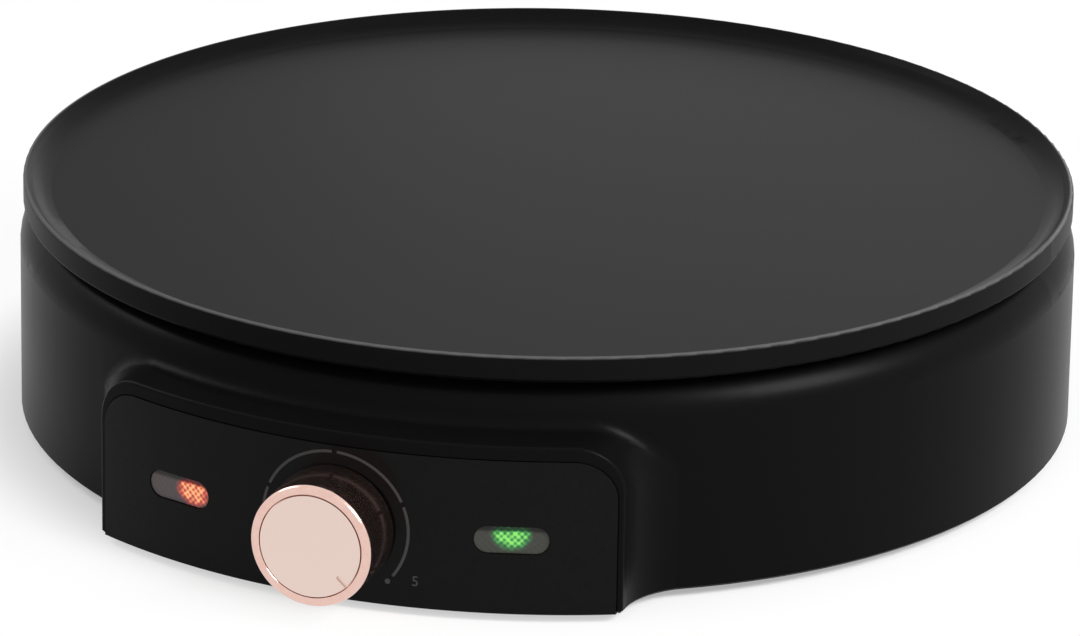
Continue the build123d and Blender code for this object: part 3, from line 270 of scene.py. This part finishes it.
def window(name, side, body_colour, glow_colours, glow_centre, glow_size):
    """Window material: a painted glow as emission, broken by prism ribs, in the window's upright
    plane.
    """
    made, tree, where = start_material(name)
    turn = side * WINDOW_ARC / POD_RADIUS
    centre = Vector((PANEL_RADIUS * sin(turn), AXIS_Y - PANEL_RADIUS * cos(turn), CONTROL_Z))
    centred = add(tree, "VectorMath", {"operation": "SUBTRACT", 0: where, 1: centre})
    upright = add(tree, "VectorRotate", {
        "rotation_type": "Z_AXIS", "Vector": centred.outputs[0], "Angle": -turn,
    }).outputs[0]
    parts = add(tree, "SeparateXYZ", {"Vector": upright})
    along, up = parts.outputs[0], parts.outputs[2]
    ribs = []
    for operation in ("ADD", "SUBTRACT"):
        slant = add(tree, "Math", {"operation": operation, 0: along, 1: up})
        ribs.append(add(tree, "Math", {
            "operation": "PINGPONG", 0: slant.outputs[0], 1: RIB_PITCH / 2,
        }).outputs[0])
    height = add(tree, "Math", {"operation": "ADD", 0: ribs[0], 1: ribs[1]}).outputs[0]
    sparkle = add(tree, "TexVoronoi", {"Vector": upright, "Scale": 1 / RIB_PITCH})
    from_glow = add(tree, "VectorMath", {
        "operation": "SUBTRACT", 0: upright, 1: (glow_centre[0], 0.0, glow_centre[1]),
    })
    stretched = add(tree, "VectorMath", {
        "operation": "MULTIPLY", 0: from_glow.outputs[0],
        1: (1 / glow_size[0], 0.0, 1 / glow_size[1]),
    })
    reach = add(tree, "VectorMath", {"operation": "LENGTH", 0: stretched.outputs[0]})
    fall = add(tree, "MapRange", {
        "interpolation_type": "SMOOTHSTEP", 0: reach.outputs["Value"],
        1: 0.35, 2: 1.0, 3: 1.0, 4: 0.0,
    })
    facet = add(tree, "MapRange", {
        0: height, 1: 0.1 * RIB_PITCH, 2: 0.9 * RIB_PITCH, 3: 0.3, 4: 1.6,
    })
    glint = add(tree, "MapRange", {
        0: sparkle.outputs["Distance"], 1: 0.1, 2: 0.8, 3: 1.3, 4: 0.5,
    })
    broken = add(tree, "Math", {
        "operation": "MULTIPLY", 0: facet.outputs[0], 1: glint.outputs[0],
    })
    glow = add(tree, "Math", {"operation": "MULTIPLY", 0: fall.outputs[0], 1: broken.outputs[0]})
    # Painted shade: the body colour and the glow darken towards the window's upper edge.
    painted_shade = add(tree, "MapRange", {
        "interpolation_type": "SMOOTHSTEP", 0: up, 1: PAINTED_SHADE_START, 2: PAINTED_SHADE_END, 3: 1.0, 4: 0.1,
    })
    power = add(tree, "Math", {"operation": "MULTIPLY", 0: glow.outputs[0], 1: painted_shade.outputs[0]})
    body = add(tree, "Mix", {
        "data_type": "RGBA", 0: painted_shade.outputs[0], 6: linear("000000"), 7: linear(body_colour),
    })
    deep = add(tree, "MapRange", {0: power.outputs[0], 1: 0.0, 2: 0.4, 3: 0.0, 4: 1.0})
    hot = add(tree, "MapRange", {0: power.outputs[0], 1: 0.35, 2: 1.0, 3: 0.0, 4: 1.0})
    warm = add(tree, "Mix", {
        "data_type": "RGBA", 0: deep.outputs[0], 6: linear("000000"), 7: linear(glow_colours[0]),
    })
    shine = add(tree, "Mix", {
        "data_type": "RGBA", 0: hot.outputs[0], 6: warm.outputs[2], 7: linear(glow_colours[1]),
    })
    # Painted light: the emission paints the lamp's glow and glints onto the window itself.
    shader = add(tree, "BsdfPrincipled", {
        "Base Color": body.outputs[2], "Roughness": 0.35, "Specular IOR Level": 0.3,
        "Emission Color": shine.outputs[2], "Emission Strength": 1.0,
    })
    finish_surface(tree, shader, height, RIB_RELIEF)
    return made


orange_window = window("ribbed polycarbonate over the orange lamp", -1, "544a4b",
                       ("c02c0c", "ffb070"), (5.2 * MM, 0.6 * MM), (7.2 * MM, 5.2 * MM))
dress(orange_window, "power_lens")
green_window = window("ribbed polycarbonate over the green lamp", 1, "3a3b35",
                      ("12883a", "84e860"), (0.0, 1.9 * MM), (6.8 * MM, 6.0 * MM))
dress(green_window, "ready_lens")


def glowing(name, colour):
    """Lamp envelope: coloured glass, drawn with a faint waviness, that shines evenly."""
    made, tree, where = start_material(name)
    height, shade = speckled(tree, where, 1.0 * MM, (colour, colour))
    shader = add(tree, "BsdfPrincipled", {
        "Base Color": shade, "Roughness": 0.2,
        "Emission Color": linear(colour), "Emission Strength": 1.0,
    })
    finish_surface(tree, shader, height, 0.002 * MM)
    return made


dress(glowing("orange lamp glass", "ff7a2a"), "power_lamp")
dress(glowing("green lamp glass", "4ad04a"), "ready_lamp")

# ---- Nylon holders -------------------------------------------------------------------
# Lamp holders, terminal block and cord clamp, moulded in undyed nylon: milky white with
# a dull, slightly waxy skin.

nylon = coat(
    "natural nylon", ("c9c5b8", "d2cfc3"),
    grain=0.8 * MM, relief=0.01 * MM, roughness=0.5, specular=0.4,
)
dress(nylon, "lamp_holders", "terminal_block", "cord_clamp")

# ---- Thermostat knob -----------------------------------------------------------------
# Moulded cup, plated in rose gold. The side and the lip are polished and mirror the
# panel. The disc let into the front is satin, paler, and spreads the light evenly.

rose_side = coat(
    "polished rose-gold plating", ("e6bfb3", "e9c6bb"),
    grain=2.0 * MM, relief=0.0002 * MM, roughness=0.16, metallic=1.0,
)
dress(rose_side, "knob")
rose_satin = coat(
    "satin rose-gold plating", ("e6cfc4", "e9d4ca"),
    grain=0.25 * MM, relief=0.002 * MM, roughness=0.42, metallic=1.0,
)
dress(rose_satin, "knob_face")

# ---- Screws and small pressings ------------------------------------------------------
# Cold-headed screws, stamped straps and clips and the turned shaft, all of steel plated
# with zinc: a cool, dull silver with a faint mottling.

zinc = coat(
    "zinc-plated steel", ("9b9c9f", "aeb0b3"),
    grain=0.6 * MM, relief=0.004 * MM, roughness=0.32, metallic=1.0,
)
dress(zinc, "base_screws", "plate_screws", "panel_screws", "strap_screws", "clamp_screws",
      "terminal_screws", "sensor_screws", "thermostat_nut", "heater_straps", "bulb_clip",
      "earth_tag", "knob_spring", "thermostat_shaft")

# ---- Heat shield ---------------------------------------------------------------------
# Dish pressed from aluminised sheet steel, held under the plate by the plate's screws.
# The hot-dipped skin is a paler, softer silver, with a spangle of about a millimetre.

sheet_steel = coat(
    "aluminised sheet steel", ("a2a3a4", "b4b5b6"),
    grain=1.2 * MM, relief=0.006 * MM, roughness=0.38, metallic=1.0,
)
dress(sheet_steel, "heat_shield")

# ---- Heating element -----------------------------------------------------------------
# Steel tube packed with magnesia, bent to a loop and strapped into the plate's groove.
# Heat has tinted it a dull brown-grey in patches of a millimetre or two.

sheath = coat(
    "heat-tinted steel sheath", ("4c4641", "5e564f"),
    grain=1.5 * MM, relief=0.006 * MM, roughness=0.45, metallic=1.0,
)
dress(sheath, "heating_element", "heater_pins")

# ---- Thermostat and cut-out ----------------------------------------------------------
# Bodies of brown phenolic with a dull pressed skin, stamped brass tabs in a warm yellow,
# and a drawn copper bulb and tube in a soft red-brown metal.

phenolic = coat(
    "brown phenolic", ("2a1a12", "33211a"),
    grain=0.8 * MM, relief=0.01 * MM, roughness=0.5, specular=0.4,
)
dress(phenolic, "thermostat_body", "thermal_cutout")
brass = coat(
    "brass", ("b59a5a", "c2a867"),
    grain=0.8 * MM, relief=0.003 * MM, roughness=0.3, metallic=1.0,
)
dress(brass, "thermostat_tabs")
copper = coat(
    "copper tube", ("b0694a", "bf7a58"),
    grain=0.8 * MM, relief=0.003 * MM, roughness=0.32, metallic=1.0,
)
dress(copper, "capillary_tube", "sensing_bulb")

# ---- Bushings, feet and cord gland ---------------------------------------------------
# Moulded silicone bushings where wires pass the shield, dull brick red. The push-in feet
# and the cord gland are moulded black rubber, matt with a faint grain.

silicone = coat(
    "red silicone", ("7d3a2f", "874338"),
    grain=0.8 * MM, relief=0.01 * MM, roughness=0.6, specular=0.3,
)
dress(silicone, "shield_bushings")
rubber = coat(
    "black rubber", ("161616", "1d1d1d"),
    grain=0.5 * MM, relief=0.01 * MM, roughness=0.7, specular=0.3,
)
dress(rubber, "rubber_feet", "cord_gland")

# ---- Internal wires ------------------------------------------------------------------
# Stranded copper in braided glass-fibre sleeves, dyed by use. The braid's strands cross
# 0.8 mm apart, which is coarser than real ones so that they show, and look matt.

STRAND_PITCH = 0.8 * MM
STRAND_RELIEF = 0.5      # the strands' height by this share, as the real ones lie flat


def sleeve(name, colours):
    """Braided glass-fibre sleeve: two sets of strands that cross on the slant."""
    made, tree, where = start_material(name)
    shade = speckled(tree, where, 1.0 * MM, colours, (0.4, 0.6))[1]
    parts = add(tree, "SeparateXYZ", {"Vector": where})
    flat = add(tree, "Math", {"operation": "ADD", 0: parts.outputs[0], 1: parts.outputs[1]})
    strands = []
    for operation in ("ADD", "SUBTRACT"):
        slant = add(tree, "Math", {
            "operation": operation, 0: flat.outputs[0], 1: parts.outputs[2],
        })
        strands.append(add(tree, "Math", {
            "operation": "PINGPONG", 0: slant.outputs[0], 1: STRAND_PITCH / 2,
        }).outputs[0])
    braid = add(tree, "Math", {"operation": "MAXIMUM", 0: strands[0], 1: strands[1]})
    shader = add(tree, "BsdfPrincipled", {
        "Base Color": shade, "Roughness": 0.75, "Specular IOR Level": 0.3,
    })
    finish_surface(tree, shader, braid.outputs[0], STRAND_RELIEF)
    return made


dress(sleeve("brown glass-fibre sleeve", ("4d2a17", "5c3520")), "live_wire")
dress(sleeve("black glass-fibre sleeve", ("18181a", "242426")),
      "switched_wire", "heater_link_wire")
dress(sleeve("blue glass-fibre sleeve", ("22428a", "2e52a0")), "neutral_wire")
dress(sleeve("green and yellow glass-fibre sleeve", ("2f7d35", "c9b93a")), "earth_wire")
dress(sleeve("natural glass-fibre sleeve", ("b0a993", "c2bca8")), "lamp_leads")

# ---- Soft lights ---------------------------------------------------------------------
# Three boxes behind diffusing cloth: the main one at the right, a weak one at the left
# and a low one behind that draws the far side of the rim.


def light(name, place, aim, size, watts):
    """A soft light of a given width and height that points at a spot."""
    data = bpy.data.lights.new(name, "AREA")
    data.shape = "RECTANGLE"
    data.size, data.size_y = size
    data.energy = watts
    made = bpy.data.objects.new(name, data)
    made.location = place
    made.rotation_euler = (Vector(aim) - Vector(place)).to_track_quat("-Z", "Y").to_euler()
    bpy.context.scene.collection.objects.link(made)


light("right softbox", (1.4, -0.22, 1.16), aim=(0.0, 0.0, 0.05), size=(0.8, 0.7), watts=36)
light("left softbox", (-1.5, 0.1, 1.3), aim=(0.0, 0.0, 0.05), size=(0.7, 0.7), watts=9)
light("back softbox", (-0.2, 1.25, 0.2), aim=(0.0, 0.1, 0.07), size=(0.7, 0.3), watts=1.1)

# ---- Worktop and room ----------------------------------------------------------------
# A sweep of matt white paper under the feet, in a white room. It keeps the soft shadow
# close to the body and turns clear white further out.

SHADE_START = 158.0 * MM
SHADE_END = 194.0 * MM
SHADE_WHITE = 0.4
CLEAR_WHITE = 0.92
PAPER_REACH = 4.0
PAPER_DROP = 0.05 * MM   # a hair below the feet, so that no two faces coincide


def seen_directly(tree):
    """1 for rays from the camera, off a mirror or through glass, else 0."""
    path = add(tree, "LightPath", {})
    first = add(tree, "Math", {
        "operation": "ADD", 0: path.outputs["Is Camera Ray"], 1: path.outputs["Is Glossy Ray"],
    })
    return add(tree, "Math", {
        "operation": "ADD", "use_clamp": True,
        0: first.outputs[0], 1: path.outputs["Is Transmission Ray"],
    }).outputs[0]


white_sweep, tree, where = start_material("white paper sweep")
paper = add(tree, "BsdfDiffuse", {"Color": linear("f2f2f2")})
white = add(tree, "Emission", {"Color": linear("ffffff"), "Strength": 1.0})
from_axis = add(tree, "VectorMath", {"operation": "SUBTRACT", 0: where, 1: (0.0, AXIS_Y, 0.0)})
radius = add(tree, "VectorMath", {"operation": "LENGTH", 0: from_axis.outputs[0]})
clear = add(tree, "MapRange", {
    "interpolation_type": "SMOOTHSTEP", 0: radius.outputs["Value"],
    1: SHADE_START, 2: SHADE_END, 3: SHADE_WHITE, 4: CLEAR_WHITE,
})
share = add(tree, "Math", {
    "operation": "MULTIPLY", 0: seen_directly(tree), 1: clear.outputs[0],
})
blend = add(tree, "MixShader", {0: share.outputs[0], 1: paper.outputs[0], 2: white.outputs[0]})
add(tree, "OutputMaterial", {"Surface": blend.outputs[0]})

floor_mesh = bpy.data.meshes.new("worktop")
floor_shape = bmesh.new()
bmesh.ops.create_grid(
    floor_shape, x_segments=1, y_segments=1, size=PAPER_REACH,
    matrix=Matrix.Translation((0.0, 0.0, -PAPER_DROP)),
)
floor_shape.to_mesh(floor_mesh)
floor_shape.free()
floor_mesh.materials.append(white_sweep)
floor = bpy.data.objects.new("worktop", floor_mesh)
bpy.context.scene.collection.objects.link(floor)

world = bpy.data.worlds.new("studio")
world.use_nodes = True
world.node_tree.nodes.clear()
bpy.context.scene.world = world
room = add(world.node_tree, "Background", {"Color": linear("ffffff"), "Strength": 0.5})
backdrop = add(world.node_tree, "Background", {"Color": linear("ffffff"), "Strength": 1.0})
both = add(world.node_tree, "MixShader", {
    0: seen_directly(world.node_tree), 1: room.outputs[0], 2: backdrop.outputs[0],
})
add(world.node_tree, "OutputWorld", {"Surface": both.outputs[0]})

# ---- Camera --------------------------------------------------------------------------
# A long lens a little over two metres away, to the right of the knob and above it, so
# that the cooking face and the front of the pod both show.

camera_data = bpy.data.cameras.new("camera")
camera_data.sensor_width = 36.0
camera_data.lens = 257.65
camera_data.clip_end = 20.0
camera = bpy.data.objects.new("camera", camera_data)
camera.location = (0.75697, -2.07546, 0.86012)
camera.rotation_euler = (radians(69.4744), radians(-0.9015), radians(20.2839))
bpy.context.scene.collection.objects.link(camera)
bpy.context.scene.camera = camera
bpy.context.scene.view_settings.view_transform = "Standard"
